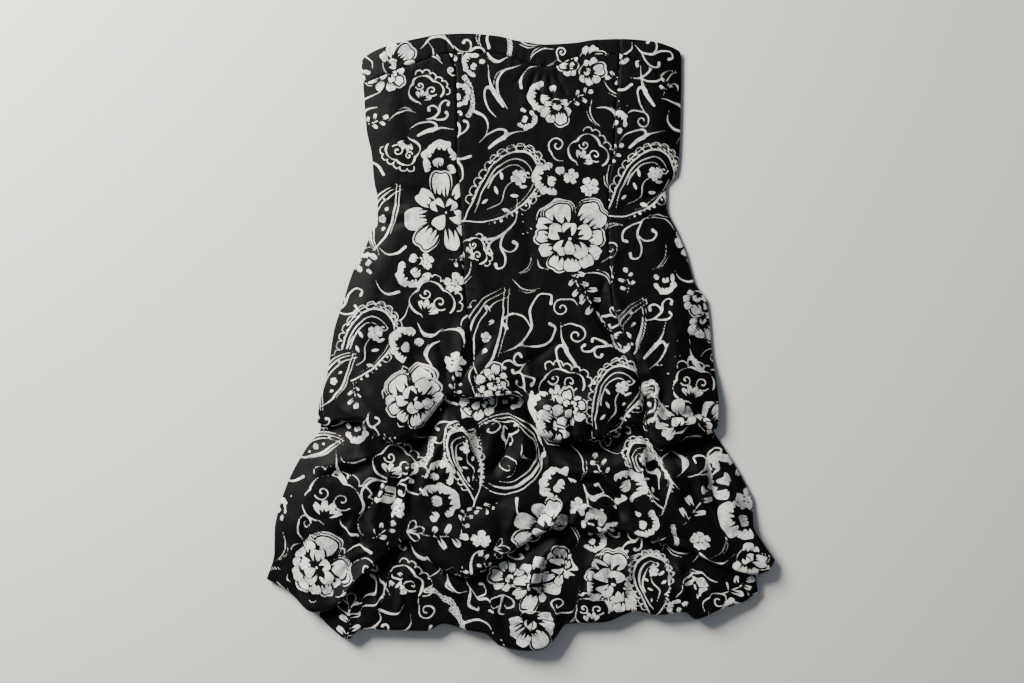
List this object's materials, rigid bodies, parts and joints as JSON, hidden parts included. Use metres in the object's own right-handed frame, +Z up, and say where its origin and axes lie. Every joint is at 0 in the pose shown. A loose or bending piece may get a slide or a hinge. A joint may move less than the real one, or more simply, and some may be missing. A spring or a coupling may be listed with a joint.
{
  "type": "bubble dress",
  "caption": "Strapless bubble dress laid flat: shaped band, princess-seamed bodice and a puffed skirt in scalloped picked-up tiers.",
  "frame": {"origin": "on the surface the dress lies on, under the middle of its bounding box", "axes": "+Y from hem to bust, +X to the right as seen from above, +Z up from the surface through back and front"},
  "size_m": [0.647, 0.7839, 0.0348],
  "materials": {
    "printed_cotton": "black cotton with an off-white flower and paisley print, soft low sheen"
  },
  "bodies": {
    "root": {"front_band": "printed_cotton", "front_left": "printed_cotton", "front_centre": "printed_cotton", "front_right": "printed_cotton", "tuck_flap": "printed_cotton", "middle_tier": "printed_cotton", "hem_tier": "printed_cotton", "back_band": "printed_cotton", "back_left": "printed_cotton", "back_right": "printed_cotton", "back_middle_tier": "printed_cotton", "back_hem_tier": "printed_cotton"}
  },
  "joints": []
}
